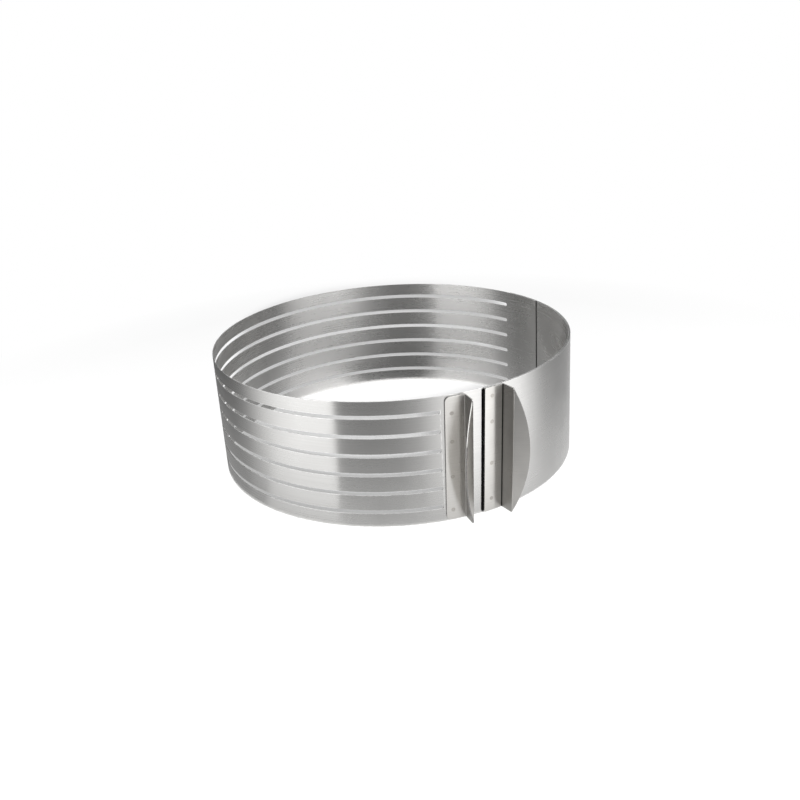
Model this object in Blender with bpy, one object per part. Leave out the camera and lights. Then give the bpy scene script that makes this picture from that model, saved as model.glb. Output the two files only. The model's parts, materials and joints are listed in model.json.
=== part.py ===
# Adjustable cake slicing ring, at its smallest size.
#
# A band of thin steel runs one full turn and carries six level knife slots. Its plain
# tail runs on inside a second, unslotted band, which slides over the tail to change the
# ring's size. Each band has a bent grip with a half-moon ear near the other's end.
# Metres, +Z up, the ring standing on z = 0, the grips to the front at -Y.
# Angles round the ring are counted from -Y towards +X.

import math

import bmesh
import bpy
from mathutils import Matrix, Vector

# The ring
RING_DIAMETER = 0.250        # over the plain band
RING_HEIGHT = 0.084
BAND_SHEET = 0.0005
SEAT_GAP = 0.0003            # between pieces that lie on each other
FACET_STEP = math.radians(3)

# The slotted band, lengths along its outside
SLOT_COUNT = 6
SLOT_HEIGHT = 0.0025
EDGE_LAYER = 0.0102          # rim to the middle of the nearest slot
SLOT_TO_GRIP = 0.0022        # slot ends to the left grip's plate
BLANK_LENGTH = 0.0348        # seam to the slots on the far side
SEAM_GAP = 0.0004            # between the band's own two ends
SLOT_END_STEPS = 4

# The plain band
LAP_LENGTH = 0.1965          # its front edge to the seam
LAP_MARGIN = 0.0030          # its far edge to the slots

# The grips
GRIP_SHEET = 0.0008
GRIP_SPACING = 0.0258        # web to web along the band
GRIP_RIM_MARGIN = 0.0010     # grips stay this far inside the rims
RIGHT_GRIP_TOP_MARGIN = 0.0002
LEFT_PLATE_LENGTH = 0.0130   # from the plate's free edge to its bend
RIGHT_PLATE_LENGTH = 0.0124
LEFT_PLATE_CORNER = 0.0030
RIGHT_PLATE_CORNER = 0.0010
BEND_RADIUS = 0.0012         # middle of the sheet
WEB_LENGTH = 0.0090          # straight part between the two bends
EAR_REACH = 0.0107           # flat reach of the half-moon, bend included
EAR_SPLAY = math.radians(47.5)
LEFT_GRIP_LEAN = math.radians(1.3)    # to the right as it rises
PLAIN_LEAN = math.radians(2.0)        # the same for the plain band's front edge
CORNER_STEPS = 4
BEND_STEPS = 5
EAR_STEPS = 12

# The spot welds
WELD_RADIUS = 0.0013
WELD_INSET = 0.0041          # from the plate's free edge
WELD_CROWN = 0.0001          # how far a weld stands above its sheet
WELD_CROWN_SHARE = 0.75      # the crown's flat against the weld's radius
LEFT_WELD_SHARES = (0.09, 0.36, 0.64, 0.86)
RIGHT_WELD_SHARES = (0.11, 0.40, 0.73, 0.93)
LAP_WELD_SHARES = (0.08, 0.36, 0.64, 0.92)
LAP_WELD_INSET = 0.0125      # from the plain band's far edge
WELD_SIDES = 16

# The dark strip on the plain band's front edge
TRIM_WIDTH = 0.0014
TRIM_RIM_MARGIN = 0.0008
TRIM_END_STEPS = 8

# Radii and angles that follow
plain_outer = RING_DIAMETER / 2
plain_inner = plain_outer - BAND_SHEET
slotted_outer = plain_inner - SEAT_GAP
slotted_inner = slotted_outer - BAND_SHEET
left_plate_inner = slotted_outer + SEAT_GAP
right_plate_inner = plain_outer + SEAT_GAP

plain_start = 0.0
seam_angle = plain_start + LAP_LENGTH / plain_outer
slot_start = seam_angle + BLANK_LENGTH / plain_outer
plain_end = slot_start - LAP_MARGIN / plain_outer
right_foot = plain_start + RIGHT_PLATE_LENGTH / plain_outer
left_foot = right_foot - GRIP_SPACING / plain_outer
left_plate_start = left_foot - LEFT_PLATE_LENGTH / plain_outer
slot_end = 2 * math.pi + left_plate_start - SLOT_TO_GRIP / plain_outer

# Where each grip starts, the inside of its plate, the plate's length and the ear's turn
LEFT_PLACE = (left_plate_start, left_plate_inner, LEFT_PLATE_LENGTH, -1)
RIGHT_PLACE = (plain_start, right_plate_inner, RIGHT_PLATE_LENGTH, 1)

SLOTTED_STEEL = ("slotted_steel", (0.62, 0.61, 0.60), 0.32, 1.0)
PLAIN_STEEL = ("plain_steel", (0.66, 0.65, 0.64), 0.26, 1.0)
GRIP_STEEL = ("grip_steel", (0.68, 0.66, 0.63), 0.18, 1.0)
WELD_STEEL = ("weld_steel", (0.52, 0.50, 0.47), 0.42, 1.0)
TRIM_BLACK = ("trim_black", (0.012, 0.012, 0.012), 0.55, 0.0)


def clear_scene():
    for obj in list(bpy.data.objects):
        bpy.data.objects.remove(obj, do_unlink=True)


def make_material(finish):
    name, colour, roughness, metallic = finish
    material = bpy.data.materials.get(name) or bpy.data.materials.new(name)
    material.use_nodes = True
    shader = material.node_tree.nodes["Principled BSDF"]
    shader.inputs["Base Color"].default_value = (*colour, 1.0)
    shader.inputs["Roughness"].default_value = roughness
    shader.inputs["Metallic"].default_value = metallic
    return material


def make_empty(name, location):
    empty = bpy.data.objects.new(name, None)
    empty.location = location
    bpy.context.scene.collection.objects.link(empty)
    return empty


def make_object(name, mesh, finish, parent):
    mesh.materials.append(make_material(finish))
    obj = bpy.data.objects.new(name, mesh)
    bpy.context.scene.collection.objects.link(obj)
    obj.parent = parent
    return obj


def finish_mesh(bm, name):
    mesh = bpy.data.meshes.new(name)
    bm.to_mesh(mesh)
    bm.free()
    return mesh


def on_ring(radius, angle, z):
    return Vector((radius * math.sin(angle), -radius * math.cos(angle), z))


# Sheet metal: columns of (one side, other side, spans), where a span is the metal's
# low and high edge there. Slots are the spaces between spans; a shared edge closes one.
def sheet_mesh(name, columns):
    bm = bmesh.new()
    made = {}

    def corner(column, side, z):
        key = (column, side, z)
        if key not in made:
            x, y = columns[column][side]
            made[key] = bm.verts.new((x, y, z))
        return made[key]

    def add_face(corners):
        ring = []
        for vert in corners:
            if vert not in ring:
                ring.append(vert)
        if len(ring) > 2:
            bm.faces.new(ring)

    def edge_wall(column, near_z, far_z):
        add_face((
            corner(column, 0, near_z),
            corner(column, 1, near_z),
            corner(column + 1, 1, far_z),
            corner(column + 1, 0, far_z),
        ))

    def end_cap(column):
        for low, high in columns[column][2]:
            add_face((
                corner(column, 0, low),
                corner(column, 1, low),
                corner(column, 1, high),
                corner(column, 0, high),
            ))

    def levels(spans):
        return [z for span in spans for z in span]

    for column in range(len(columns) - 1):
        near, far = columns[column][2], columns[column + 1][2]
        if len(near) == len(far):
            bands = [([a], [b]) for a, b in zip(near, far)]
        else:
            bands = [(near, far)]
        for near_part, far_part in bands:
            for side in (0, 1):
                rise = [corner(column, side, z) for z in levels(near_part)]
                fall = [corner(column + 1, side, z) for z in reversed(levels(far_part))]
                add_face(rise + fall)
            edge_wall(column, near_part[0][0], far_part[0][0])
            edge_wall(column, near_part[-1][1], far_part[-1][1])
    end_cap(0)
    end_cap(len(columns) - 1)

    bmesh.ops.recalc_face_normals(bm, faces=bm.faces)
    return finish_mesh(bm, name)


# How far a leaning piece is turned round the ring at a height
def lean_turn(lean, z):
    return math.tan(lean) * (z - RING_HEIGHT / 2) / plain_outer


# Leans a piece by turning it round the ring as it rises, less towards the fade angle
def lean_mesh(mesh, lean, fade_angle=math.inf):
    bm = bmesh.new()
    bm.from_mesh(mesh)
    for vert in bm.verts:
        share = 1 - math.atan2(vert.co.x, -vert.co.y) / fade_angle
        vert.co = Matrix.Rotation(lean_turn(lean, vert.co.z) * share, 3, "Z") @ vert.co
    bmesh.ops.triangulate(bm, faces=bm.faces)
    bm.to_mesh(mesh)
    bm.free()


def smooth_round(mesh):
    mesh.shade_smooth()
    mesh.set_sharp_from_angle(angle=math.radians(30))


def band_column(angle, inner, outer, spans):
    return (
        on_ring(inner, angle, 0).xy,
        on_ring(outer, angle, 0).xy,
        spans,
    )


def even_angles(start, end):
    steps = max(1, math.ceil((end - start) / FACET_STEP - 1e-6))
    return [start + (end - start) * step / steps for step in range(steps + 1)]


# The full height at one column, cut by slots that are opened by a share of their height
def slotted_spans(open_share):
    pitch = (RING_HEIGHT - 2 * EDGE_LAYER) / (SLOT_COUNT - 1)
    half = SLOT_HEIGHT / 2 * open_share
    edges = [0.0]
    for slot in range(SLOT_COUNT):
        middle = EDGE_LAYER + pitch * slot
        edges += [middle - half, middle + half]
    edges.append(RING_HEIGHT)
    return list(zip(edges[0::2], edges[1::2]))


def make_slotted_band(parent):
    full = [(0.0, RING_HEIGHT)]
    slot_round = SLOT_HEIGHT / 2
    tip_step = math.pi / 2 / SLOT_END_STEPS
    band_start = seam_angle + SEAM_GAP / plain_outer
    band_end = seam_angle + 2 * math.pi
    columns = []

    def add(angle, spans):
        columns.append(band_column(angle, slotted_inner, slotted_outer, spans))

    for angle in even_angles(band_start, slot_start)[:-1]:
        add(angle, full)
    for step in range(SLOT_END_STEPS):
        reach = slot_round * (1 - math.cos(tip_step * step))
        add(slot_start + reach / slotted_outer, slotted_spans(math.sin(tip_step * step)))
    round_angle = slot_round / slotted_outer
    for angle in even_angles(slot_start + round_angle, slot_end - round_angle):
        add(angle, slotted_spans(1))
    for step in reversed(range(SLOT_END_STEPS)):
        reach = slot_round * (1 - math.cos(tip_step * step))
        add(slot_end - reach / slotted_outer, slotted_spans(math.sin(tip_step * step)))
    for angle in even_angles(slot_end, band_end)[1:]:
        add(angle, full)

    mesh = sheet_mesh("slotted_band", columns)
    smooth_round(mesh)
    return make_object("slotted_band", mesh, SLOTTED_STEEL, parent)


def make_plain_band(parent):
    full = [(0.0, RING_HEIGHT)]
    columns = [
        band_column(angle, plain_inner, plain_outer, full)
        for angle in even_angles(plain_start, plain_end)
    ]
    mesh = sheet_mesh("plain_band", columns)
    lean_mesh(mesh, PLAIN_LEAN, plain_end)
    smooth_round(mesh)
    return make_object("plain_band", mesh, PLAIN_STEEL, parent)


# Where a bent sheet is after a length along its plan, which is straight runs and arcs
def along(start, runs, length):
    x, y, heading = start
    for run_length, turn in runs:
        step = min(length, run_length)
        part = turn * step / run_length
        if turn:
            radius = run_length / turn
            x += radius * (math.sin(heading + part) - math.sin(heading))
            y += radius * (math.cos(heading) - math.cos(heading + part))
        else:
            x += step * math.cos(heading)
            y += step * math.sin(heading)
        heading += part
        length -= step
    return x, y, heading


# The grip's plan: plate on the band, bend, web, second bend, straight ear
def grip_runs(plate_middle, plate_length, ear_turn):
    bend_length = BEND_RADIUS * math.pi / 2
    splay_length = BEND_RADIUS * EAR_SPLAY
    plate_arc = plate_length - BEND_RADIUS
    return [
        (plate_arc, plate_arc / plate_middle),
        (bend_length, -math.pi / 2),
        (WEB_LENGTH, 0.0),
        (splay_length, ear_turn * EAR_SPLAY),
        (EAR_REACH - splay_length, 0.0),
    ]


def grip_start(plate_angle, plate_middle):
    place = on_ring(plate_middle, plate_angle, 0)
    return place.x, place.y, plate_angle


def grip_spans(runs, length, corner, top_margin):
    low = GRIP_RIM_MARGIN
    high = RING_HEIGHT - top_margin
    into_ear = length - sum(run[0] for run in runs[:3])
    if length < corner:
        drop = corner - math.sqrt(corner ** 2 - (corner - length) ** 2)
        return [(low + drop, high - drop)]
    if into_ear > 0:
        half_chord = (high - low) / 2
        ear_round = (half_chord ** 2 + EAR_REACH ** 2) / (2 * EAR_REACH)
        depth = ear_round - EAR_REACH + into_ear
        half = math.sqrt(max(0.0, ear_round ** 2 - depth ** 2))
        middle = (low + high) / 2
        return [(middle - half, middle + half)]
    return [(low, high)]


def grip_stations(runs, corner):
    starts = [sum(run[0] for run in runs[:index]) for index in range(len(runs) + 1)]
    corner_step = math.pi / 2 / CORNER_STEPS
    stations = [
        corner * (1 - math.cos(corner_step * step))
        for step in range(CORNER_STEPS + 1)
    ]
    plate_steps = CORNER_STEPS
    plate_rest = starts[1] - corner
    stations += [corner + plate_rest * step / plate_steps for step in range(1, plate_steps + 1)]
    stations += [starts[1] + runs[1][0] * step / BEND_STEPS for step in range(1, BEND_STEPS + 1)]
    stations += [starts[3]]
    stations += [starts[3] + runs[3][0] * step / BEND_STEPS for step in range(1, BEND_STEPS + 1)]
    for step in range(1, EAR_STEPS + 1):
        left = 1 - step / EAR_STEPS
        stations.append(starts[5] - runs[4][0] * left ** 2)
    return stations


def make_grip(name, place, corner, top_margin, lean, weld_cutter, parent):
    plate_angle, plate_inner, plate_length, ear_turn = place
    plate_middle = plate_inner + GRIP_SHEET / 2
    runs = grip_runs(plate_middle, plate_length, ear_turn)
    start = grip_start(plate_angle, plate_middle)
    stations = grip_stations(runs, corner)
    half = GRIP_SHEET / 2
    columns = []
    for length in stations:
        x, y, heading = along(start, runs, length)
        aside = Vector((-math.sin(heading), math.cos(heading))) * half
        spans = grip_spans(runs, length, corner, top_margin)
        if length == stations[-1]:
            middle = (spans[0][0] + spans[0][1]) / 2
            spans = [(middle, middle)]
        columns.append((Vector((x, y)) + aside, Vector((x, y)) - aside, spans))
    mesh = sheet_mesh(name, columns)
    lean_mesh(mesh, lean)
    grip = make_object(name, mesh, GRIP_STEEL, parent)
    cut_holes(grip, weld_cutter)
    smooth_round(grip.data)
    return grip


def cut_holes(obj, cutter):
    boolean = obj.modifiers.new("weld holes", "BOOLEAN")
    boolean.operation = "DIFFERENCE"
    boolean.solver = "EXACT"
    boolean.object = cutter


# A short peg on a radius of the ring, from one radius to another
def add_peg(bm, angle, z, inner, outer, radius, crown_radius):
    middle = on_ring((inner + outer) / 2, angle, z)
    turn = on_ring(1, angle, 0).to_track_quat("Z", "Y").to_matrix().to_4x4()
    bmesh.ops.create_cone(
        bm,
        cap_ends=True,
        segments=WELD_SIDES,
        radius1=radius,
        radius2=crown_radius,
        depth=outer - inner,
        matrix=Matrix.Translation(middle) @ turn,
    )


# A row of spot welds through a sheet, and the cutter for the holes they sit in
def make_welds(name, place, shares, lean, parent):
    foot_angle, sheet_inner, sheet_outer = place
    crown = sheet_outer + WELD_CROWN
    hole_radius = WELD_RADIUS + SEAT_GAP
    overrun = sheet_outer - sheet_inner
    holes = bmesh.new()
    for number, share in enumerate(shares, 1):
        z = RING_HEIGHT * share
        angle = foot_angle + lean_turn(lean, z)
        weld = bmesh.new()
        add_peg(weld, angle, z, sheet_inner, crown, WELD_RADIUS, WELD_RADIUS * WELD_CROWN_SHARE)
        weld_name = f"{name}_{number}"
        make_object(weld_name, finish_mesh(weld, weld_name), WELD_STEEL, parent)
        add_peg(holes, angle, z, sheet_inner - overrun, sheet_outer + overrun, hole_radius, hole_radius)

    cutter = bpy.data.objects.new(name + "_holes", finish_mesh(holes, name + "_holes"))
    bpy.context.scene.collection.objects.link(cutter)
    cutter.parent = parent
    cutter.hide_render = True
    cutter.display_type = "WIRE"
    return cutter


def make_edge_trim(parent):
    round_end = TRIM_WIDTH / 2
    inner = slotted_outer + SEAT_GAP
    outer = right_plate_inner
    far_edge = plain_start - SEAT_GAP / plain_outer
    columns = []
    for step in range(TRIM_END_STEPS + 1):
        turn = math.pi * step / TRIM_END_STEPS
        reach = round_end * (1 + math.cos(turn))
        rise = round_end * (1 - math.sin(turn)) + TRIM_RIM_MARGIN
        spans = [(rise, RING_HEIGHT - rise)]
        columns.append(band_column(far_edge - reach / plain_outer, inner, outer, spans))
    mesh = sheet_mesh("edge_trim", columns)
    lean_mesh(mesh, PLAIN_LEAN)
    smooth_round(mesh)
    return make_object("edge_trim", mesh, TRIM_BLACK, parent)


# The ring's axis, set so that the whole object's footprint is centred on the origin
def ring_axis_place():
    reaches = []
    for angle, inner, plate_length, turn in (LEFT_PLACE, RIGHT_PLACE):
        middle = inner + GRIP_SHEET / 2
        runs = grip_runs(middle, plate_length, turn)
        x, y, heading = along(grip_start(angle, middle), runs, sum(run[0] for run in runs))
        reaches.append(y - abs(math.cos(heading)) * GRIP_SHEET / 2)
    front = min(reaches)
    back = slotted_outer
    return Vector((-(plain_outer - slotted_outer) / 2, -(front + back) / 2, 0))


def main():
    clear_scene()
    ring_axis = make_empty("ring_axis", ring_axis_place())
    slide_axis = make_empty("slide_axis", (0, 0, 0))
    slide_axis.parent = ring_axis

    make_slotted_band(ring_axis)
    left_welds = make_welds(
        "left_grip_weld",
        (left_plate_start + WELD_INSET / plain_outer, left_plate_inner, left_plate_inner + GRIP_SHEET),
        LEFT_WELD_SHARES,
        LEFT_GRIP_LEAN,
        ring_axis,
    )
    make_grip(
        "left_grip", LEFT_PLACE, LEFT_PLATE_CORNER, GRIP_RIM_MARGIN, LEFT_GRIP_LEAN, left_welds, ring_axis
    )

    plain_band = make_plain_band(slide_axis)
    lap_welds = make_welds(
        "lap_weld",
        (plain_end - LAP_WELD_INSET / plain_outer, plain_inner, plain_outer),
        LAP_WELD_SHARES,
        0,
        slide_axis,
    )
    cut_holes(plain_band, lap_welds)
    right_welds = make_welds(
        "right_grip_weld",
        (plain_start + WELD_INSET / plain_outer, right_plate_inner, right_plate_inner + GRIP_SHEET),
        RIGHT_WELD_SHARES,
        PLAIN_LEAN,
        slide_axis,
    )
    make_grip(
        "right_grip", RIGHT_PLACE, RIGHT_PLATE_CORNER, RIGHT_GRIP_TOP_MARGIN,
        PLAIN_LEAN, right_welds, slide_axis,
    )
    make_edge_trim(slide_axis)
    bpy.context.view_layer.update()


main()
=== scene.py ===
import json
import math

import bmesh
import bpy
from mathutils import Matrix, Vector


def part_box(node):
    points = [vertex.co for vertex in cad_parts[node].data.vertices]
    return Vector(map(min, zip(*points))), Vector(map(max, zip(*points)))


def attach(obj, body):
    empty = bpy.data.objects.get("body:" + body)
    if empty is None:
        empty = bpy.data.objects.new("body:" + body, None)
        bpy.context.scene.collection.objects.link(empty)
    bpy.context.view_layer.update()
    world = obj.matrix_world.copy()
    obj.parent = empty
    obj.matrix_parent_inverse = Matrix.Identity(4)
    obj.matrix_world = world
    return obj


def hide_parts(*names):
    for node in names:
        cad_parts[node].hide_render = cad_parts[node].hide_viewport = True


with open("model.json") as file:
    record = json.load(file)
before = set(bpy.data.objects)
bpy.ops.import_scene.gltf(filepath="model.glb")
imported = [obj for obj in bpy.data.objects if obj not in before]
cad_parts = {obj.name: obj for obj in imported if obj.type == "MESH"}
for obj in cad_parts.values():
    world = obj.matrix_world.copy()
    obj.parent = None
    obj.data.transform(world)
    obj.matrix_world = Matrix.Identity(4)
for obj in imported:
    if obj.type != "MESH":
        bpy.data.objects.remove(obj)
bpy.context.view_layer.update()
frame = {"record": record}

# A stainless cake slicing ring: slotted band, plain band that slides over its tail, two
# bent grips with half-moon ears. Lengths in metres, angles round the ring from -Y to +X.

ringAxis = Vector(frame["record"]["behaviour"]["joints"][0]["pos_m"]) * Vector((1, 1, 0))
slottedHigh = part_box("slotted_band")[1]
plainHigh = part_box("plain_band")[1]
ringHeight = slottedHigh.z
plainOuter = plainHigh.x - ringAxis.x
slottedOuter = slottedHigh.y - ringAxis.y

# the camera, placed by the photograph
view = {
    "focal": 960.5,           # in pixels of an 800 pixel frame
    "frame": 800.0,
    "sensor": 36.0,
    "distance": 5.563,        # in ring radii
    "elevation": math.radians(21.95),
    "azimuth": math.radians(-25.25),
    "centreX": 394.71,
    "centreY": 387.94,
    "roll": math.radians(-3.76),
    "clipStart": 0.01,
}

# sizes that both bands and both grips share
sheet = {
    "band": 0.0005,
    "grip": 0.0008,
    "seat": 0.0003,
    "softEdge": 0.00009,      # rounding on every cut edge
    "edgeBand": 0.0007,       # how far the edge polish and its painted highlight reach into the sheet
    "facet": math.radians(1),
    "facetSlack": 0.001,      # share of a facet, so an exact fit takes no extra one
    "cutAngle": math.radians(60),      # edges sharper than this are rounded
    "creaseAngle": math.radians(50),   # edges sharper than this are shaded as creases
    "broadFacing": 0.99,      # how squarely a face looks out or in to count as band
}

layout = {
    "lapLength": 0.1965,      # plain band's front edge to the seam
    "seamGap": 0.0005,
    "frontEdge": 0.0009,      # plain band and plate reach this far past angle zero
    "blankLength": 0.0348,    # seam to the slots
    "lapMargin": 0.0030,
    "gripSpacing": 0.0258,
    "leftPlate": 0.0130,
    "rightPlate": 0.0124,
    "slotToGrip": 0.0022,
    "leftLean": math.radians(1.3),
    "plainLean": math.radians(2.0),
}
seamAngle = layout["lapLength"] / plainOuter
slotStart = seamAngle + layout["blankLength"] / plainOuter
plainEnd = slotStart - layout["lapMargin"] / plainOuter
leftPlateStart = (layout["rightPlate"] - layout["gripSpacing"] - layout["leftPlate"]) / plainOuter
slotEnd = 2 * math.pi + leftPlateStart - layout["slotToGrip"] / plainOuter


def ringPoint(radius, angle, z=0.0):
    return ringAxis + Vector((radius * math.sin(angle), -radius * math.cos(angle), z))


# pieces that lean are turned round the ring as they rise, the plain band less and less
# towards its far edge
def leanTurn(lean, z):
    return math.tan(lean) * (z - ringHeight / 2) / plainOuter


def leanBody(bm, lean, fadeAngle=math.inf):
    for vert in bm.verts:
        place = vert.co - ringAxis
        share = 1 - math.atan2(place.x, -place.y) / fadeAngle
        vert.co = ringAxis + Matrix.Rotation(leanTurn(lean, place.z) * share, 3, "Z") @ place
    bm.normal_update()
    return bm


# sheet metal from columns; a column holds both sides in plan, its place along the
# sheet and its spans, and a span is a list of heights from one cut edge to the next
def sheetBody(columns):
    bm = bmesh.new()
    alongLayer = bm.verts.layers.float.new("along")
    wearSheenLayer = bm.verts.layers.float.new("wearSheenAndTint")
    paintedShadeLayer = bm.verts.layers.float.new("grime")
    insideLayer = bm.verts.layers.float.new("inside")
    calmLayer = bm.verts.layers.float.new("calm")
    made = {}

    def corner(index, side, z):
        key = (index, side, z)
        if key not in made:
            column = columns[index]
            x, y = column["sides"][side]
            vert = bm.verts.new((x, y, z))
            vert[alongLayer] = column["along"]
            # edge mask, partly real polish and partly painted highlight: full at cut edges and end
            # columns
            ends = [z in (span[0], span[-1]) for span in column["spans"]]
            edgeMarked = any(ends) or column.get("end")
            vert[wearSheenLayer] = 1.0 if edgeMarked else column.get("bendSheen", 0.0)
            # painted shade share, per side, with its own value at a column's lowest and highest cut
            # edge
            grime = column.get("grime", (0.0, 0.0))[side]
            if z == column["spans"][0][0]:
                grime = column.get("lowGrime", grime)
            elif z == column["spans"][-1][-1]:
                grime = column.get("highGrime", grime)
            vert[paintedShadeLayer] = grime
            # share of the inside's painted highlight, on the inner side only
            vert[insideLayer] = column.get("inside", 0.0) * (1.0 - side)
            vert[calmLayer] = column.get("calm", 0.0) * side
            made[key] = vert
        return made[key]

    def face(corners):
        ring = list(dict.fromkeys(corners))
        if len(ring) > 2:
            bm.faces.new(ring)

    def wall(index, nearZ, farZ):
        face((
            corner(index, 0, nearZ), corner(index, 1, nearZ),
            corner(index + 1, 1, farZ), corner(index + 1, 0, farZ),
        ))

    def endCap(index):
        for span in columns[index]["spans"]:
            for low, high in zip(span, span[1:]):
                face((
                    corner(index, 0, low), corner(index, 1, low),
                    corner(index, 1, high), corner(index, 0, high),
                ))

    for index in range(len(columns) - 1):
        near, far = columns[index]["spans"], columns[index + 1]["spans"]
        if len(near) == len(far):
            for nearSpan, farSpan in zip(near, far):
                for side in (0, 1):
                    for step in range(len(nearSpan) - 1):
                        face((
                            corner(index, side, nearSpan[step]),
                            corner(index, side, nearSpan[step + 1]),
                            corner(index + 1, side, farSpan[step + 1]),
                            corner(index + 1, side, farSpan[step]),
                        ))
                wall(index, nearSpan[0], farSpan[0])
                wall(index, nearSpan[-1], farSpan[-1])
        else:
            for side in (0, 1):
                rise = [corner(index, side, z) for span in near for z in span]
                climb = [corner(index + 1, side, z) for span in far for z in span]
                face(rise + climb[::-1])
            wall(index, near[0][0], far[0][0])
            wall(index, near[-1][-1], far[-1][-1])
    endCap(0)
    endCap(len(columns) - 1)
    bmesh.ops.recalc_face_normals(bm, faces=bm.faces)

    uvLayer = bm.loops.layers.uv.new("sheetMap")
    for polygon in bm.faces:
        for loop in polygon.loops:
            loop[uvLayer].uv = (loop.vert[alongLayer], loop.vert.co.z)
    cutEdges = [
        edge for edge in bm.edges
        if len(edge.link_faces) == 2 and edge.calc_face_angle() > sheet["cutAngle"]
    ]
    bmesh.ops.bevel(
        bm, geom=cutEdges, offset=sheet["softEdge"], segments=2, profile=0.5,
        affect="EDGES", clamp_overlap=True,
    )
    return bm


# every point of a broad face takes that face's own direction, so the narrow roundings
# along the cut edges don't bend the light across the sheet
def broadNormals(mesh):
    normals = [None] * len(mesh.vertices)
    reach = [0.0] * len(mesh.vertices)
    for polygon in mesh.polygons:
        for index in polygon.vertices:
            if polygon.area > reach[index]:
                reach[index] = polygon.area
                normals[index] = polygon.normal.copy()
    for vert in mesh.vertices:
        outward = Vector((vert.co.x - ringAxis.x, vert.co.y - ringAxis.y, 0)).normalized()
        facing = normals[vert.index].dot(outward)
        if abs(facing) > sheet["broadFacing"]:
            normals[vert.index] = outward * math.copysign(1, facing)
    return normals


def addObject(name, data, material=None):
    if material:
        data.materials.append(material)
    made = bpy.data.objects.new(name, data)
    bpy.context.scene.collection.objects.link(made)
    return made


def finishPiece(name, bm, material, body, nodes, roundBand=True):
    mesh = bpy.data.meshes.new(name)
    bm.to_mesh(mesh)
    bm.free()
    mesh.shade_smooth()
    if roundBand:
        mesh.normals_split_custom_set_from_vertices(broadNormals(mesh))
    else:
        mesh.set_sharp_from_angle(angle=sheet["creaseAngle"])
    piece = addObject(name, mesh, material)
    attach(piece, body)
    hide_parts(*nodes)


# sets a socket, or links it where the value is a socket too
def feed(tree, socket, value):
    if isinstance(value, bpy.types.NodeSocket):
        tree.links.new(value, socket)
    else:
        socket.default_value = value


def newGroup(name, inputs, outputs):
    tree = bpy.data.node_groups.new(name, "ShaderNodeTree")
    for direction, sockets in (("INPUT", inputs), ("OUTPUT", outputs)):
        for socketName, kind in sockets:
            tree.interface.new_socket(name=socketName, in_out=direction, socket_type=kind)
    return tree, tree.nodes.new("NodeGroupInput"), tree.nodes.new("NodeGroupOutput")


def newMaterial(name):
    material = bpy.data.materials.new(name)
    material.use_nodes = True
    tree = material.node_tree
    return material, tree, tree.nodes["Principled BSDF"]


def mathNode(tree, operation, *values, clamp=False):
    node = tree.nodes.new("ShaderNodeMath")
    node.operation = operation
    node.use_clamp = clamp
    for socket, value in zip(node.inputs, values):
        feed(tree, socket, value)
    return node.outputs[0]


def mapRange(tree, value, source, target=(0.0, 1.0)):
    node = tree.nodes.new("ShaderNodeMapRange")
    node.clamp = True
    sockets = ("Value", "From Min", "From Max", "To Min", "To Max")
    for socketName, amount in zip(sockets, (value, *source, *target)):
        feed(tree, node.inputs[socketName], amount)
    return node.outputs["Result"]


def noiseNode(tree, vector, scale, detail, roughness):
    node = tree.nodes.new("ShaderNodeTexNoise")
    sockets = ("Vector", "Scale", "Detail", "Roughness")
    for socketName, amount in zip(sockets, (vector, scale, detail, roughness)):
        feed(tree, node.inputs[socketName], amount)
    return node.outputs["Fac"]


def readAttribute(tree, name):
    node = tree.nodes.new("ShaderNodeAttribute")
    node.attribute_name = name
    return node.outputs["Fac"]


def colourMix(tree, factor, first, second):
    node = tree.nodes.new("ShaderNodeMix")
    node.data_type = "RGBA"
    feed(tree, node.inputs["Factor"], factor)
    for socket, value in ((node.inputs[6], first), (node.inputs[7], second)):
        feed(tree, socket, value if isinstance(value, bpy.types.NodeSocket) else (*value, 1.0))
    return node.outputs[2]


def addBump(tree, shader, height, strength, depth):
    bump = tree.nodes.new("ShaderNodeBump")
    bump.inputs["Strength"].default_value = strength
    bump.inputs["Distance"].default_value = depth
    tree.links.new(height, bump.inputs["Height"])
    tree.links.new(bump.outputs["Normal"], shader.inputs["Normal"])


def placeGroup(tree, group, values):
    node = tree.nodes.new("ShaderNodeGroup")
    node.node_tree = group
    for socketName, value in values.items():
        feed(tree, node.inputs[socketName], value)
    return node


# inside the shared shader groups; a noise is its detail and roughness
groupLook = {
    "fineNoise": (3.0, 0.6), "broadNoise": (2.0, 0.5),
    "fineShare": 0.55, "grainRange": (0.3, 0.7),
    "nickNoise": (3.0, 0.5), "nickRange": (0.3, 0.7), "nickDepth": (-0.35, 0.15),
    "edgeMaskFrom": 0.45,
    "cloudNoise": (4.0, 0.62), "cloudRange": (0.42, 0.68),
}


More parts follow.
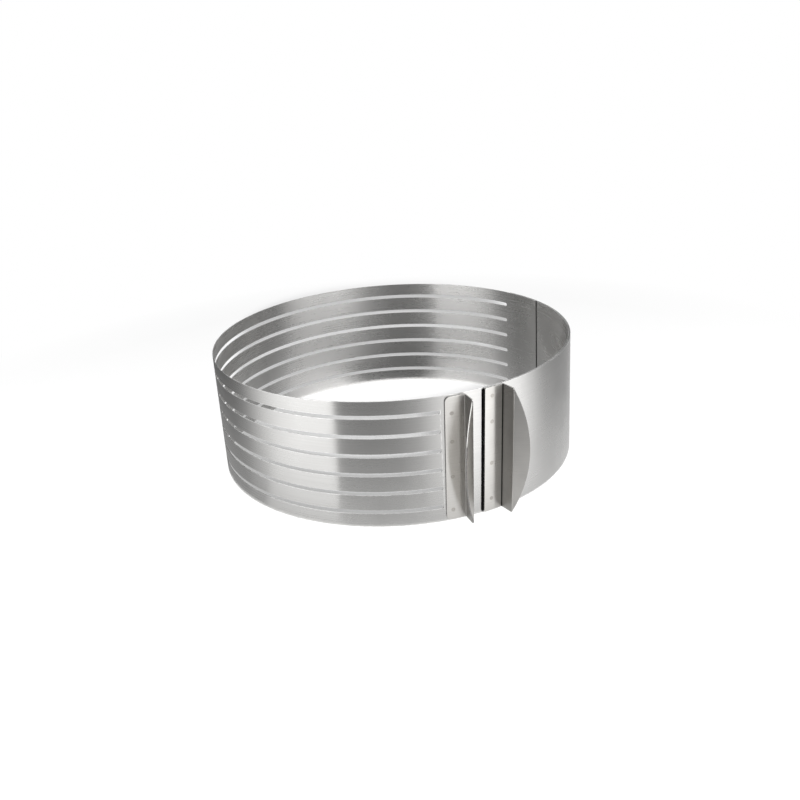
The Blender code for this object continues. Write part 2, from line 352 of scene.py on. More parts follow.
# brush lines: long along the sheet, fine across it
def makeBrushGrain():
    tree, given, made = newGroup(
        "brushGrain",
        [
            ("Map", "NodeSocketVector"), ("Along", "NodeSocketFloat"),
            ("Across", "NodeSocketFloat"), ("Broad Across", "NodeSocketFloat"),
        ],
        [("Tone", "NodeSocketFloat"), ("Height", "NodeSocketFloat")],
    )

    def stretched(across):
        combine = tree.nodes.new("ShaderNodeCombineXYZ")
        tree.links.new(given.outputs["Along"], combine.inputs["X"])
        tree.links.new(across, combine.inputs["Y"])
        combine.inputs["Z"].default_value = 1.0
        scaled = tree.nodes.new("ShaderNodeVectorMath")
        scaled.operation = "MULTIPLY"
        tree.links.new(given.outputs["Map"], scaled.inputs[0])
        tree.links.new(combine.outputs[0], scaled.inputs[1])
        return scaled.outputs[0]

    fine = noiseNode(tree, stretched(given.outputs["Across"]), 1.0, *groupLook["fineNoise"])
    broad = noiseNode(tree, stretched(given.outputs["Broad Across"]), 1.0, *groupLook["broadNoise"])
    fineShare = mathNode(tree, "MULTIPLY", fine, groupLook["fineShare"])
    broadShare = mathNode(tree, "MULTIPLY", broad, 1.0 - groupLook["fineShare"])
    mixed = mathNode(tree, "ADD", fineShare, broadShare)
    tree.links.new(mapRange(tree, mixed, groupLook["grainRange"]), made.inputs["Tone"])
    tree.links.new(fine, made.inputs["Height"])
    return tree


# polish, a painted highlight and small nicks along cut edges
def makeEdgePolishAndSheen():
    tree, given, made = newGroup(
        "edgePolishAndSheen",
        [("Map", "NodeSocketVector"), ("Edge", "NodeSocketFloat"), ("Breakup", "NodeSocketFloat")],
        [("Mask", "NodeSocketFloat")],
    )
    spots = noiseNode(tree, given.outputs["Map"], given.outputs["Breakup"], *groupLook["nickNoise"])
    nicks = mapRange(tree, spots, groupLook["nickRange"], groupLook["nickDepth"])
    broken = mathNode(tree, "ADD", given.outputs["Edge"], nicks)
    tree.links.new(mapRange(tree, broken, (groupLook["edgeMaskFrom"], 1.0)), made.inputs["Mask"])
    return tree


# faint handling marks that dull the polish in soft patches
def makeHandlingMarks():
    tree, given, made = newGroup(
        "handlingMarks",
        [("Map", "NodeSocketVector"), ("Size", "NodeSocketFloat")],
        [("Mask", "NodeSocketFloat")],
    )
    clouds = noiseNode(tree, given.outputs["Map"], given.outputs["Size"], *groupLook["cloudNoise"])
    tree.links.new(mapRange(tree, clouds, groupLook["cloudRange"]), made.inputs["Mask"])
    return tree


brushGrain = makeBrushGrain()
edgePolishAndSheen = makeEdgePolishAndSheen()
handlingMarks = makeHandlingMarks()


def brushedSteel(name, look):
    material, tree, shader = newMaterial(name)
    uvMap = tree.nodes.new("ShaderNodeUVMap")
    uvMap.uv_map = "sheetMap"
    sheetPlace = uvMap.outputs["UV"]
    grain = placeGroup(tree, brushGrain, {
        "Map": sheetPlace, "Along": look["grainAlong"],
        "Across": look["grainAcross"], "Broad Across": look["broadAcross"],
    })
    tone = grain.outputs["Tone"]
    polishAndSheen = placeGroup(tree, edgePolishAndSheen, {
        "Map": sheetPlace, "Edge": readAttribute(tree, "wearSheenAndTint"), "Breakup": look["edgeBreakup"],
    }).outputs["Mask"]
    marks = placeGroup(
        tree, handlingMarks, {"Map": sheetPlace, "Size": look["markSize"]}
    ).outputs["Mask"]

    brushed = colourMix(tree, tone, look["dark"], look["light"])
    # painted highlight: the inside turns near white where its share says
    insideHighlightShare = mathNode(tree, "MULTIPLY", readAttribute(tree, "inside"), look["insideHighlightShare"])
    brushed = colourMix(tree, insideHighlightShare, brushed, look["insideHighlightColour"])
    markShare = mathNode(tree, "MULTIPLY", marks, look["markDepth"])
    dulled = colourMix(tree, markShare, brushed, look["markTint"])
    # cut edges lighter, partly from real polish and partly as a painted highlight
    edgeMarked = colourMix(tree, polishAndSheen, dulled, look["edgeWearSheenColour"])
    # painted shade: the colour turns near black where the painted shade share says
    shaded = colourMix(tree, readAttribute(tree, "grime"), edgeMarked, look["paintedShadeColour"])
    tree.links.new(shaded, shader.inputs["Base Color"])

    # roughness and bump follow the grain, less so where the sheet is calm
    lively = mathNode(tree, "SUBTRACT", 1.0, readAttribute(tree, "calm"), clamp=True)
    middle = sum(look["rough"]) / 2
    swing = mapRange(tree, tone, (0.0, 1.0), [limit - middle for limit in look["rough"]])
    rough = mathNode(tree, "MULTIPLY_ADD", swing, lively, middle)
    marked = mathNode(tree, "MULTIPLY_ADD", marks, look["markRough"], rough)
    smoothed = mathNode(tree, "MULTIPLY_ADD", polishAndSheen, -look["edgeSmooth"], marked, clamp=True)
    tree.links.new(smoothed, shader.inputs["Roughness"])
    height = mathNode(tree, "MULTIPLY", grain.outputs["Height"], lively)
    addBump(tree, shader, height, look["bumpStrength"], look["bumpDepth"])

    tangent = tree.nodes.new("ShaderNodeTangent")
    tangent.direction_type = "UV_MAP"
    tangent.uv_map = "sheetMap"
    tree.links.new(tangent.outputs["Tangent"], shader.inputs["Tangent"])
    shader.inputs["Metallic"].default_value = 1.0
    shader.inputs["Anisotropic"].default_value = look["anisotropic"]
    shader.inputs["Anisotropic Rotation"].default_value = look["brushTurn"]
    return material


# grain and mark sizes are noise scales in sheet metres; rough is at dark and light grain
slottedLook = {
    "dark": (0.54, 0.535, 0.525), "light": (0.62, 0.615, 0.605),
    # colour of the painted shade
    "paintedShadeColour": (0.03, 0.03, 0.03),
    # colour and share of the painted highlight on the inside across the back
    "insideHighlightColour": (0.97, 0.96, 0.945), "insideHighlightShare": 0.92,
    "grainAlong": 9.0, "grainAcross": 3200.0, "broadAcross": 900.0,
    "rough": (0.24, 0.30),
    "markSize": 26.0, "markDepth": 0.10, "markTint": (0.50, 0.50, 0.49), "markRough": 0.04,
    # colour of the cut edges: real polish and painted highlight
    "edgeWearSheenColour": (0.82, 0.82, 0.81), "edgeSmooth": 0.14, "edgeBreakup": 260.0,
    "bumpStrength": 0.04, "bumpDepth": 0.00004,
    "anisotropic": 1.0, "brushTurn": 0.25,
}
plainLook = dict(
    slottedLook, dark=(0.65, 0.645, 0.635), light=(0.69, 0.685, 0.675),
    rough=(0.255, 0.285), grainAlong=7.0, bumpStrength=0.03,
)
gripLook = dict(
    slottedLook, dark=(0.62, 0.605, 0.58), light=(0.70, 0.685, 0.66),
    grainAlong=30.0, rough=(0.26, 0.32), markSize=60.0,
    edgeWearSheenColour=(0.74, 0.73, 0.71), edgeSmooth=0.05, insideHighlightShare=0.0, bumpStrength=0.06,
)
slottedSteel = brushedSteel("slottedSteel", slottedLook)
plainSteel = brushedSteel("plainSteel", plainLook)
gripSteel = brushedSteel("gripSteel", gripLook)


# the slotted band
slottedBand = {
    "slotCount": 6,
    "slotHeight": 0.0025,
    "edgeLayer": 0.0102,
    "tipSteps": 6,
    "endShadeReach": (0.0007, 0.0004),     # how far painted shade reaches inside from the band's two ends
    "insideHighlight": 42.0,         # half the arc in degrees round the back, as the camera sees it, that gets a painted highlight inside
    "fade": 12.0,
    "sideShade": 0.15,        # share of painted shade on the inside beyond that
    "tailCalm": 1.0,          # no grain in the outside's roughness beyond the slots, so the
                              # black strip's reflection there keeps a straight edge
}


# the inside gets a painted highlight across the back as the camera sees it, and painted shade
# beyond
def bandColumn(angle, inner, outer, spans, start, end=False):
    fromBack = abs((math.degrees(angle - view["azimuth"]) % 360) - 180)
    beyond = (fromBack - slottedBand["insideHighlight"]) / slottedBand["fade"]
    insideHighlight = min(1.0, max(0.0, 1.0 - beyond))
    return {
        "inside": insideHighlight,
        "grime": (slottedBand["sideShade"] * (1.0 - insideHighlight), 0.0),
        "sides": (ringPoint(inner, angle).xy, ringPoint(outer, angle).xy),
        "along": (angle - start) * outer,
        "spans": spans,
        "end": end,
    }


def edgeBandSpan(low, high):
    reach = min(sheet["edgeBand"], (high - low) / 3)
    return [low, low + reach, high - reach, high]


def slottedSpans(openShare):
    pitch = (ringHeight - 2 * slottedBand["edgeLayer"]) / (slottedBand["slotCount"] - 1)
    half = slottedBand["slotHeight"] / 2 * openShare
    edges = [0.0]
    for slotNumber in range(slottedBand["slotCount"]):
        middle = slottedBand["edgeLayer"] + pitch * slotNumber
        edges += [middle - half, middle + half]
    edges.append(ringHeight)
    return [edgeBandSpan(low, high) for low, high in zip(edges[0::2], edges[1::2])]


def evenAngles(start, end):
    steps = max(1, math.ceil((end - start) / sheet["facet"] - sheet["facetSlack"]))
    return [start + (end - start) * step / steps for step in range(steps + 1)]


def makeSlottedBand():
    outer = slottedOuter
    inner = outer - sheet["band"]
    start = seamAngle + layout["seamGap"] / plainOuter
    end = seamAngle + 2 * math.pi
    full = [edgeBandSpan(0.0, ringHeight)]
    tipRound = slottedBand["slotHeight"] / 2
    tipTurn = math.pi / 2 / slottedBand["tipSteps"]
    tips = [
        (tipRound * (1 - math.cos(tipTurn * step)) / outer, slottedSpans(math.sin(tipTurn * step)))
        for step in range(slottedBand["tipSteps"])
    ]
    roundAngle = tipRound / outer
    openAngles = evenAngles(slotStart + roundAngle, slotEnd - roundAngle)
    places = [(angle, full) for angle in evenAngles(start, slotStart)[:-1]]
    places += [(slotStart + reach, spans) for reach, spans in tips]
    places += [(angle, slottedSpans(1)) for angle in openAngles]
    places += [(slotEnd - reach, spans) for reach, spans in reversed(tips)]
    places += [(angle, full) for angle in evenAngles(slotEnd, end)[1:]]
    for reach in slottedBand["endShadeReach"]:
        places[1:1] = [(start + reach / outer, full)]
        places[-1:-1] = [(end - reach / outer, full)]
    columns = [
        bandColumn(angle, inner, outer, spans, start, number in (0, len(places) - 1))
        for number, (angle, spans) in enumerate(places)
    ]
    # painted shade: a dark line on the inner side at both of the band's ends, along the seam
    for column in columns[:2] + columns[-2:]:
        column["grime"] = (1.0, 0.0)
    for column in columns:
        if column["along"] > (slotEnd - start) * outer:
            column["calm"] = slottedBand["tailCalm"]
    finishPiece(
        "slottedBand", sheetBody(columns), slottedSteel,
        "slotted_ring", ["slotted_band"],
    )


plainBand = {"calm": 0.7}     # how far the grain is left out of the outside's roughness


def makePlainBand():
    outer = plainOuter
    inner = outer - sheet["band"]
    full = [edgeBandSpan(0.0, ringHeight)]
    angles = evenAngles(-layout["frontEdge"] / outer, plainEnd)
    columns = [
        bandColumn(angle, inner, outer, full, 0.0, number in (0, len(angles) - 1))
        for number, angle in enumerate(angles)
    ]
    for column in columns:
        column["calm"] = plainBand["calm"]
    body = leanBody(sheetBody(columns), layout["plainLean"], plainEnd)
    finishPiece("plainBand", body, plainSteel, "plain_slide", ["plain_band"])


# the grips: plate, bend, web, second bend, half-moon ear
grip = {
    "leftCorner": 0.0030,
    "rightCorner": 0.0010,
    "fold": 0.0006,           # between plate and web
    "bend": 0.0012,           # between web and ear
    "web": 0.0096,
    "earReach": 0.0107,
    "splay": math.radians(47.5),
    "cornerSteps": 6,
    "bendSteps": 8,
    "plateSteps": 8,
    "earSteps": 26,
    "foldShade": 0.00022,     # how far the fold's painted dark line runs out on both sides
    # share of the painted highlight along the ear's bend
    "bendSheenShare": 0.5,
    "cleanTo": 0.0095,        # how far out the ear's upper cut edge is left free of painted shade
    # painted shade in the fold, on the web, on the ear's face and on the ear's cut edges
    "leftPaintedShade": {"fold": 0.1, "web": 0.42, "earFace": 0.0, "ear": 0.6},
    "rightPaintedShade": {"fold": 0.97, "web": 0.36, "earFace": 0.2, "ear": 0.2},
}


def alongPlan(start, runs, length):
    x, y, heading = start
    for runLength, turn in runs:
        step = min(length, runLength)
        part = turn * step / runLength
        if turn:
            radius = runLength / turn
            x += radius * (math.sin(heading + part) - math.sin(heading))
            y += radius * (math.cos(heading) - math.cos(heading + part))
        else:
            x += step * math.cos(heading)
            y += step * math.sin(heading)
        heading += part
        length -= step
    return x, y, heading


def makeGrip(name, node, place, lean, body, shadeShares):
    plateAngle, plateInner, plateLength, cornerRound, earTurn = place
    middle = plateInner + sheet["grip"] / 2
    plateArc = plateLength - grip["fold"]
    splayLength = grip["bend"] * grip["splay"]
    runs = [
        (plateArc, plateArc / middle),
        (grip["fold"] * math.pi / 2, -math.pi / 2),
        (grip["web"], 0.0),
        (splayLength, earTurn * grip["splay"]),
        (grip["earReach"] - splayLength, 0.0),
    ]
    starts = [sum(run[0] for run in runs[:index]) for index in range(len(runs) + 1)]
    low, high = (side.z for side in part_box(node))
    halfChord = (high - low) / 2
    earRound = (halfChord ** 2 + grip["earReach"] ** 2) / (2 * grip["earReach"])

    def spansAt(length):
        if length < cornerRound:
            drop = cornerRound - math.sqrt(cornerRound ** 2 - (cornerRound - length) ** 2)
            return [edgeBandSpan(low + drop, high - drop)]
        if length > starts[3]:
            depth = earRound - grip["earReach"] + length - starts[3]
            half = math.sqrt(max(0.0, earRound ** 2 - depth ** 2))
            centre = (low + high) / 2
            return [edgeBandSpan(centre - half, centre + half)]
        return [edgeBandSpan(low, high)]

    def spread(first, last, steps):
        return [first + (last - first) * step / steps for step in range(1, steps + 1)]

    cornerTurn = math.pi / 2 / grip["cornerSteps"]
    stations = [
        cornerRound * (1 - math.cos(cornerTurn * step)) for step in range(grip["cornerSteps"] + 1)
    ]
    foldStart, foldEnd = starts[1] - grip["foldShade"], starts[2] + grip["foldShade"]
    stations += spread(cornerRound, foldStart - grip["foldShade"], grip["plateSteps"])
    stations += [foldStart, starts[1]] + spread(starts[1], starts[2], grip["bendSteps"])
    stations += [foldEnd, foldEnd + grip["foldShade"], starts[3]]
    stations += spread(starts[3], starts[4], grip["bendSteps"])
    earFlat, earSteps = runs[4][0], grip["earSteps"]
    stations += [starts[5] - earFlat * (1 - step / earSteps) ** 2 for step in range(1, earSteps)]

    plateEdge = ringPoint(middle, plateAngle)
    start = (plateEdge.x, plateEdge.y, plateAngle)
    columns = []
    for length in stations:
        x, y, heading = alongPlan(start, runs, length)
        aside = Vector((-math.sin(heading), math.cos(heading))) * sheet["grip"] / 2
        onEar = length > starts[3]
        parts = {
            "fold": foldStart <= length <= foldEnd,
            "web": foldEnd < length <= starts[3],
            "earFace": onEar,
        }
        # painted shade share for the part this column lies in: fold, web or ear face
        facing = max([shadeShares[part] for part, inside in parts.items() if inside], default=0.0)
        column = {
            "sides": (Vector((x, y)) + aside, Vector((x, y)) - aside),
            "along": length,
            "spans": spansAt(length),
            # painted highlight along the ear's bend
            "bendSheen": grip["bendSheenShare"] if onEar and length < starts[4] else 0.0,
            "grime": (min(facing, shadeShares["web"]), facing),
            "end": length in (stations[0], stations[-1]),
        }
        # painted shade on the ear's lower cut edge, on its upper one beyond cleanTo and on its end
        if onEar:
            column["lowGrime"] = shadeShares["ear"]
        if length > starts[3] + grip["cleanTo"]:
            column["highGrime"] = shadeShares["ear"]
        if length == stations[-1]:
            column["grime"] = (shadeShares["ear"], shadeShares["ear"])
        columns.append(column)
    ready = leanBody(sheetBody(columns), lean)
    finishPiece(name, ready, gripSteel, body, [node], False)


# spot welds: a dished nugget with a heat-tinted lip, sunk in its sheet
weldLook = {
    "count": 4,               # in each row of welds
    "segments": 28,
    "root": -0.0003,          # how deep it sits in the sheet
    # distance from the middle, height over the sheet, share of heat tint
    "profile": [
        (0.00040, 0.000012, 0.2), (0.00078, 0.000016, 0.5), (0.00098, 0.000030, 0.9),
        (0.00112, 0.000036, 0.8), (0.00124, 0.000026, 0.3), (0.00130, -0.000040, 0.0),
    ],
    "core": (0.54, 0.525, 0.50), "tint": (0.46, 0.43, 0.39), "tintShare": (0.5, 1.0),
    "speckle": (2600.0, 3.0, 0.6),   # noise: scale, detail, roughness
    "speckleRange": (0.3, 0.7),
    "rough": (0.30, 0.42), "bumpStrength": 0.25, "bumpDepth": 0.00002,
}


def makeWeldSteel():
    material, tree, shader = newMaterial("weldSteel")
    shader.inputs["Metallic"].default_value = 1.0
    place = tree.nodes.new("ShaderNodeTexCoord")
    speckle = noiseNode(tree, place.outputs["Object"], *weldLook["speckle"])
    share = mapRange(tree, speckle, weldLook["speckleRange"], weldLook["tintShare"])
    tinted = mathNode(tree, "MULTIPLY", readAttribute(tree, "wearSheenAndTint"), share)
    colour = colourMix(tree, tinted, weldLook["core"], weldLook["tint"])
    tree.links.new(colour, shader.inputs["Base Color"])
    rough = mapRange(tree, speckle, weldLook["speckleRange"], weldLook["rough"])
    tree.links.new(rough, shader.inputs["Roughness"])
    addBump(tree, shader, speckle, weldLook["bumpStrength"], weldLook["bumpDepth"])
    return material


weldSteel = makeWeldSteel()


def makeWeld(name, node, faceRadius, body):
    low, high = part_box(node)
    middle = (low + high) / 2
    outward = (middle - ringAxis) * Vector((1, 1, 0))
    outward.normalize()
    seat = ringAxis + outward * faceRadius + Vector((0, 0, middle.z))
    up = Vector((0, 0, 1))
    aside = up.cross(outward)
    bm = bmesh.new()
    tintLayer = bm.verts.layers.float.new("wearSheenAndTint")
    segments = weldLook["segments"]

    def point(radius, height, turn):
        return seat + outward * height + (aside * math.cos(turn) + up * math.sin(turn)) * radius

    rings = []
    lastRadius = weldLook["profile"][-1][0]
    for radius, height, tint in weldLook["profile"] + [(lastRadius, weldLook["root"], 0.0)]:
        ring = []
        for step in range(segments):
            vert = bm.verts.new(point(radius, height, 2 * math.pi * step / segments))
            vert[tintLayer] = tint
            ring.append(vert)
        rings.append(ring)
    crown = bm.verts.new(point(0.0, weldLook["profile"][0][1], 0.0))
    root = bm.verts.new(point(0.0, weldLook["root"], 0.0))
    for step in range(segments):
        after = (step + 1) % segments
        bm.faces.new((crown, rings[0][step], rings[0][after]))
        for inner, outer in zip(rings, rings[1:]):
            bm.faces.new((inner[step], outer[step], outer[after], inner[after]))
        bm.faces.new((root, rings[-1][after], rings[-1][step]))
    bmesh.ops.recalc_face_normals(bm, faces=bm.faces)
    finishPiece(name, bm, weldSteel, body, [node], False)


# the black strip on the plain band's front edge
trim = {
    "width": 0.0008,
    "thick": 0.0008,
    "gap": 0.0010,            # to angle zero
    "sides": 24,
    "endSteps": 10,
    "square": 0.35,           # 1 is an ellipse, less is squarer
    "tipShare": 0.05,         # of the width left at the very ends
    "tipDepth": 0.55,         # of the thickness left there
    "black": (0.002, 0.002, 0.002), "dustColour": (0.008, 0.0075, 0.007),
    # noises: scale, detail, roughness
    "dust": (140.0, 4.0, 0.65), "dustRange": (0.55, 0.75), "dustShare": (0.0, 0.25),
    "grain": (1800.0, 3.0, 0.6), "grainRange": (0.3, 0.7), "rough": (0.6, 0.75),
    "specular": 0.05, "bumpStrength": 0.04, "bumpDepth": 0.00004,
}


def makeTrimBlack():
    material, tree, shader = newMaterial("trimBlack")
    place = tree.nodes.new("ShaderNodeTexCoord")
    grain = noiseNode(tree, place.outputs["Object"], *trim["grain"])
    dust = noiseNode(tree, place.outputs["Object"], *trim["dust"])
    dusted = mapRange(tree, dust, trim["dustRange"], trim["dustShare"])
    colour = colourMix(tree, dusted, trim["black"], trim["dustColour"])
    tree.links.new(colour, shader.inputs["Base Color"])
    rough = mapRange(tree, grain, trim["grainRange"], trim["rough"])
    tree.links.new(rough, shader.inputs["Roughness"])
    shader.inputs["Specular IOR Level"].default_value = trim["specular"]
    addBump(tree, shader, grain, trim["bumpStrength"], trim["bumpDepth"])
    return material


def makeEdgeTrim():
    low, high = (side.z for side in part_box("edge_trim"))
    radius = slottedOuter + sheet["seat"] + trim["thick"] / 2
    half = trim["width"] / 2
    angle = -(trim["gap"] + half) / plainOuter
    outward = ringPoint(1, angle) - ringAxis
    aside = Vector((0, 0, 1)).cross(outward)
    ends = []
    for step in range(trim["endSteps"] + 1):
        turn = math.pi / 2 * step / trim["endSteps"]
        ends.append((half * (1 - math.cos(turn)), max(math.sin(turn), trim["tipShare"])))
    stations = [(low + rise, share) for rise, share in ends]
    stations += [(high - rise, share) for rise, share in reversed(ends)]
    bm = bmesh.new()
    rings = []
    for z, share in stations:
        seat = ringPoint(radius, angle, z)
        depth = trim["thick"] / 2 * (trim["tipDepth"] + (1 - trim["tipDepth"]) * share)
        ring = []
        for step in range(trim["sides"]):
            turn = 2 * math.pi * step / trim["sides"]
            across = math.copysign(abs(math.cos(turn)) ** trim["square"], math.cos(turn))
            proud = math.copysign(abs(math.sin(turn)) ** trim["square"], math.sin(turn))
            corner = seat + aside * (across * half * share) + outward * (proud * depth)
            ring.append(bm.verts.new(corner))
        rings.append(ring)
    for lower, upper in zip(rings, rings[1:]):
        for step in range(trim["sides"]):
            after = (step + 1) % trim["sides"]
            bm.faces.new((lower[step], lower[after], upper[after], upper[step]))
    bm.faces.new(rings[0])
    bm.faces.new(rings[-1])
    bmesh.ops.recalc_face_normals(bm, faces=bm.faces)
    leanBody(bm, layout["plainLean"])
    finishPiece("edgeTrim", bm, makeTrimBlack(), "plain_slide", ["edge_trim"], False)


makeSlottedBand()
makePlainBand()
makeGrip(
    "leftGrip", "left_grip",
    (leftPlateStart, slottedOuter + sheet["seat"], layout["leftPlate"], grip["leftCorner"], -1),
    layout["leftLean"], "slotted_ring", grip["leftPaintedShade"],
)
makeGrip(
    "rightGrip", "right_grip",
    (
        -layout["frontEdge"] / plainOuter, plainOuter + sheet["seat"],
        layout["rightPlate"] + layout["frontEdge"], grip["rightCorner"], 1,
    ),
    layout["plainLean"], "plain_slide", grip["rightPaintedShade"],
)
print("bands and grips built")

leftFace = slottedOuter + sheet["seat"] + sheet["grip"]
rightFace = plainOuter + sheet["seat"] + sheet["grip"]
for number in range(1, weldLook["count"] + 1):
    makeWeld(f"leftGripWeld{number}", f"left_grip_weld_{number}", leftFace, "slotted_ring")
    makeWeld(f"rightGripWeld{number}", f"right_grip_weld_{number}", rightFace, "plain_slide")
    makeWeld(f"lapWeld{number}", f"lap_weld_{number}", plainOuter, "plain_slide")
makeEdgeTrim()
print("welds and edge trim built")


def placeCamera():
    data = bpy.data.cameras.new("photoCamera")
    data.sensor_width = view["sensor"]
    data.lens = view["focal"] / view["frame"] * view["sensor"]
    data.clip_start = view["clipStart"]
    camera = addObject("photoCamera", data)
    half = view["frame"] / 2
    pan = math.atan2(view["centreX"] - half, view["focal"])
    tilt = math.atan2(view["centreY"] - half, view["focal"])
    turn = (
        Matrix.Rotation(view["azimuth"], 4, "Z")
        @ Matrix.Rotation(math.pi / 2 - view["elevation"], 4, "X")
    )
    centre = ringAxis + Vector((0, 0, ringHeight / 2))
    away = turn @ Vector((0, 0, view["distance"] * (plainOuter + slottedOuter) / 2))
    camera.matrix_world = (
        Matrix.Translation(centre + away)
        @ turn
        @ Matrix.Rotation(pan, 4, "Y")
        @ Matrix.Rotation(tilt, 4, "X")
        @ Matrix.Rotation(view["roll"], 4, "Z")
    )
    bpy.context.scene.camera = camera


# from here on, directions are degrees round the ring from the camera's side
def planPoint(azimuth, distance):
    angle = view["azimuth"] + math.radians(azimuth)
    return ringAxis + Vector((math.sin(angle), -math.cos(angle), 0)) * distance


# adds an upright strip round the ring to a list of points and one of faces
def addStrip(points, faces, distance, low, high, azimuths):
    for azimuth in azimuths:
        spot = planPoint(azimuth, distance)
        points += [(spot.x, spot.y, low), (spot.x, spot.y, high)]
        if azimuth > azimuths[0]:
            count = len(points)
            faces.append((count - 4, count - 2, count - 1, count - 3))


floorLook = {
    "size": 12.0,
    "colour": (0.9, 0.9, 0.9),
    "rough": 0.9,
    "glow": 0.28,             # share that is plain white, so the shadow stays soft
    "glowStrength": 1.0,
    "shadeFrom": 0.37,        # metres from the ring's axis
    "shadeTo": 0.46,
}


# camera, glossy and transmission rays
def sightMask(tree):
    path = tree.nodes.new("ShaderNodeLightPath")
    seen = mathNode(tree, "MAXIMUM", path.outputs["Is Camera Ray"], path.outputs["Is Glossy Ray"])
    return mathNode(tree, "MAXIMUM", seen, path.outputs["Is Transmission Ray"])


def makeFloor():
    half = floorLook["size"] / 2
    corners = [(-half, -half, 0), (half, -half, 0), (half, half, 0), (-half, half, 0)]
    mesh = bpy.data.meshes.new("paleFloor")
    mesh.from_pydata(corners, [], [(0, 1, 2, 3)])
    material, tree, shader = newMaterial("paleFloor")
    shader.inputs["Base Color"].default_value = (*floorLook["colour"], 1.0)
    shader.inputs["Roughness"].default_value = floorLook["rough"]
    shader.inputs["Specular IOR Level"].default_value = 0.0
    glow = tree.nodes.new("ShaderNodeEmission")
    glow.inputs["Strength"].default_value = floorLook["glowStrength"]
    place = tree.nodes.new("ShaderNodeNewGeometry")
    away = tree.nodes.new("ShaderNodeVectorMath")
    away.operation = "DISTANCE"
    tree.links.new(place.outputs["Position"], away.inputs[0])
    away.inputs[1].default_value = ringAxis
    far = mapRange(
        tree, away.outputs["Value"], (floorLook["shadeFrom"], floorLook["shadeTo"]),
        (floorLook["glow"], 1.0),
    )
    mix = tree.nodes.new("ShaderNodeMixShader")
    tree.links.new(mathNode(tree, "MULTIPLY", far, sightMask(tree)), mix.inputs["Fac"])
    tree.links.new(shader.outputs[0], mix.inputs[1])
    tree.links.new(glow.outputs[0], mix.inputs[2])
    tree.links.new(mix.outputs[0], tree.nodes["Material Output"].inputs["Surface"])
    floor = addObject("paleFloor", mesh, material)


worldLook = {"strength": 0.42}   # as soft light; camera and metal see full white


def makeWorld():
    world = bpy.data.worlds.new("softStudio")
    bpy.context.scene.world = world
    world.use_nodes = True
    tree = world.node_tree
    background = tree.nodes["Background"]
    background.inputs["Color"].default_value = (1.0, 1.0, 1.0, 1.0)
    strength = mapRange(tree, sightMask(tree), (0.0, 1.0), (worldLook["strength"], 1.0))
    tree.links.new(strength, background.inputs["Strength"])


# soft boxes and dark cards as one screen, seen only in the metal. Each stop is a line of
# sight that leaves the ring's outside: its azimuth from the camera's side, the screen's
# distance from the ring's axis and the brightness there
screenLook = {
    "skirt": 0.1250,          # cards on the floor: from here to the apron, and a disc inside
    "apron": 0.235,
    "disc": 0.1225,
    "cardHeights": (0.0008, 0.001, 0.002),   # of skirt and disc, apron, the wall's foot
    "step": 5,                # degrees between the points of disc and rim card
    # plan azimuth, brightness at the disc's rim
    "discTones": [
        (-180, 0.10), (-168, 0.12), (-161, 0.86), (-148, 0.82), (-138, 0.56), (-60, 0.50),
        (-25, 0.12), (25, 0.12), (60, 0.50), (138, 0.50), (148, 0.60), (162, 0.66),
        (169, 0.12), (180, 0.10),
    ],
    "discMiddle": 0.12,
    "apronTone": (0.30, 0.78),   # plain part, share of the stop's own
    "nearTone": (0.85, -0.04),   # the same at the skirt
    "nearLeft": ((-90, 0.62), (-112, 0.88)),   # left of these azimuths the skirt is dimmed
    "height": 1.5,
    # bright card behind the ring, for its upper cut edge: directions, distance, heights, tone
    "rimCard": (150, 210, 0.36, 0.20, 0.34, 1.0),
    "roof": (0.20, 1.7, 0.8),   # distance, height, share of the stop's brightness
    "stops": [
        (-175, 0.42, 0.08), (-140, 0.40, 0.08), (-124, 0.38, 0.10), (-114, 0.38, 0.15),
        (-106, 0.40, 0.30), (-96, 0.45, 0.70), (-87, 0.55, 1.12), (-77, 0.65, 1.48),
        (-64, 0.75, 1.70), (-53, 0.80, 1.72), (-37.5, 0.80, 1.72), (-37.4, 0.80, 0.17),
        (-20, 0.80, 0.14), (-8, 0.80, 0.15), (1, 0.75, 0.22), (13, 0.65, 0.46),
        (25, 0.60, 1.04), (35, 0.55, 1.62), (46, 0.50, 2.06), (56, 0.48, 1.70), (70, 0.46, 1.62),
        (82, 0.46, 1.36), (90, 0.46, 0.98), (97, 0.46, 0.62), (104, 0.46, 0.36),
        (118, 0.46, 0.25), (130, 0.46, 0.23), (142, 0.46, 0.32), (155, 0.46, 0.42),
        (175, 0.46, 0.25),
    ],
}


# where a line of sight crosses a circle round the ring
def sightPoint(azimuth, distance):
    slant = math.asin(plainOuter * math.sin(math.radians(azimuth / 2)) / distance)
    return planPoint(azimuth - math.degrees(slant), distance)


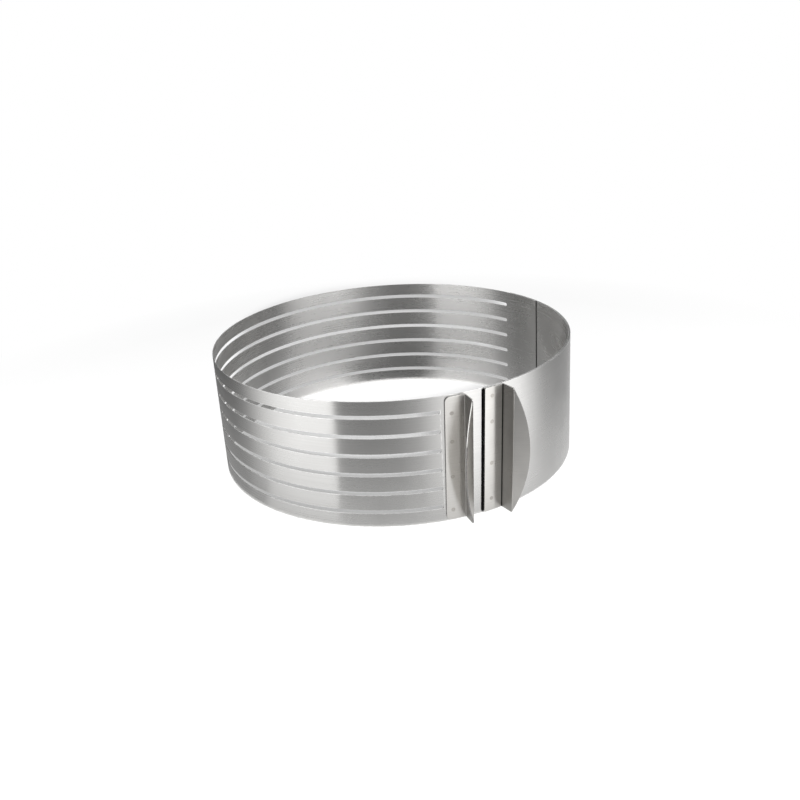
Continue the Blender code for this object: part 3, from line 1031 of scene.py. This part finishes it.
def makeScreen():
    stops = screenLook["stops"]
    skirtHeight, apronHeight, footHeight = screenLook["cardHeights"]
    nearPlain, nearShare = screenLook["nearTone"]
    apronPlain, apronShare = screenLook["apronTone"]
    roofDistance, roofHeight, roofShare = screenLook["roof"]
    points, faces, tones = [], [], []
    for azimuth, distance, tone in stops:
        near = nearPlain + nearShare * tone
        for limit, dimmed in screenLook["nearLeft"]:
            if azimuth < limit:
                near *= dimmed
        column = [
            (screenLook["skirt"], skirtHeight, near),
            (screenLook["apron"], apronHeight, apronPlain + apronShare * tone),
            (distance, footHeight, tone),
            (distance, screenLook["height"], tone),
            (roofDistance, roofHeight, tone * roofShare),
        ]
        for reach, z, brightness in column:
            spot = sightPoint(azimuth, reach)
            points.append((spot.x, spot.y, z))
            tones.append(brightness)
    rows = len(column)
    for number in range(len(stops) - 1):
        for row in range(rows - 1):
            first = number * rows + row
            faces.append((first, first + rows, first + rows + 1, first + 1))

    middle = len(points)
    points.append((ringAxis.x, ringAxis.y, skirtHeight))
    tones.append(screenLook["discMiddle"])
    discTones = screenLook["discTones"]
    for number, azimuth in enumerate(range(-180, 181, screenLook["step"])):
        spot = planPoint(azimuth, screenLook["disc"])
        points.append((spot.x, spot.y, skirtHeight))
        for (start, low), (end, high) in zip(discTones, discTones[1:]):
            if start <= azimuth <= end:
                tone = low + (high - low) * (azimuth - start) / (end - start)
        tones.append(tone)
        if number:
            faces.append((middle, middle + number, middle + number + 1))

    first, last, distance, low, high, tone = screenLook["rimCard"]
    azimuths = range(first, last + 1, screenLook["step"])
    addStrip(points, faces, distance, low, high, azimuths)
    tones += [tone] * (2 * len(azimuths))

    mesh = bpy.data.meshes.new("studioScreen")
    mesh.from_pydata(points, [], faces)
    layer = mesh.attributes.new("screenTone", "FLOAT", "POINT")
    layer.data.foreach_set("value", tones)
    material, tree, shader = newMaterial("studioScreen")
    tree.nodes.remove(shader)
    glow = tree.nodes.new("ShaderNodeEmission")
    tree.links.new(readAttribute(tree, "screenTone"), glow.inputs["Strength"])
    tree.links.new(glow.outputs[0], tree.nodes["Material Output"].inputs["Surface"])
    screen = addObject("studioScreen", mesh, material)
    screen.visible_camera = False
    screen.visible_diffuse = False
    screen.visible_shadow = False


# a lamp high behind the camera; it shades the floor just behind each wall and is left
# out of the metal, where the screen stands for it
keyLook = {
    "azimuth": 2.6,
    "elevation": 24.2,
    "distance": 3.0,
    "size": 0.16,
    "power": 181.0,
    # shadow strips in the slotted wall: lower and upper height, first and last direction
    "flags": ((0.0070, 0.0135, 0, 360), (0.0840, 0.1170, 84, 276)),
    "flagStep": 3,            # degrees between their points
}


def makeKeyLight():
    data = bpy.data.lights.new("keyLight", "AREA")
    data.shape = "SQUARE"
    data.size = keyLook["size"]
    data.energy = keyLook["power"]
    lamp = addObject("keyLight", data)
    rise = math.radians(keyLook["elevation"])
    foot = planPoint(keyLook["azimuth"], keyLook["distance"] * math.cos(rise))
    toward = (foot - ringAxis).normalized() * math.cos(rise) + Vector((0, 0, math.sin(rise)))
    lamp.location = foot + Vector((0, 0, keyLook["distance"] * math.sin(rise)))
    lamp.rotation_euler = toward.to_track_quat("Z", "Y").to_euler()
    lamp.visible_camera = False
    lamp.visible_glossy = False


# keeps the lamp off the floor where the camera looks through the lowest slot, and where
# it looks through the upper slots at the back
def makeFlags():
    radius = slottedOuter - sheet["band"] / 2
    points, faces = [], []
    for low, high, first, last in keyLook["flags"]:
        azimuths = range(first, last + 1, keyLook["flagStep"])
        addStrip(points, faces, radius, low, high, azimuths)
    mesh = bpy.data.meshes.new("slotFlag")
    mesh.from_pydata(points, [], faces)
    flag = addObject("slotFlag", mesh)
    flag.visible_camera = False
    flag.visible_glossy = False
    flag.visible_diffuse = False
    flag.visible_transmission = False


placeCamera()
makeFlags()
makeFloor()
makeWorld()
makeScreen()
makeKeyLight()
bpy.context.scene.view_settings.view_transform = "Standard"
print("camera and light set")
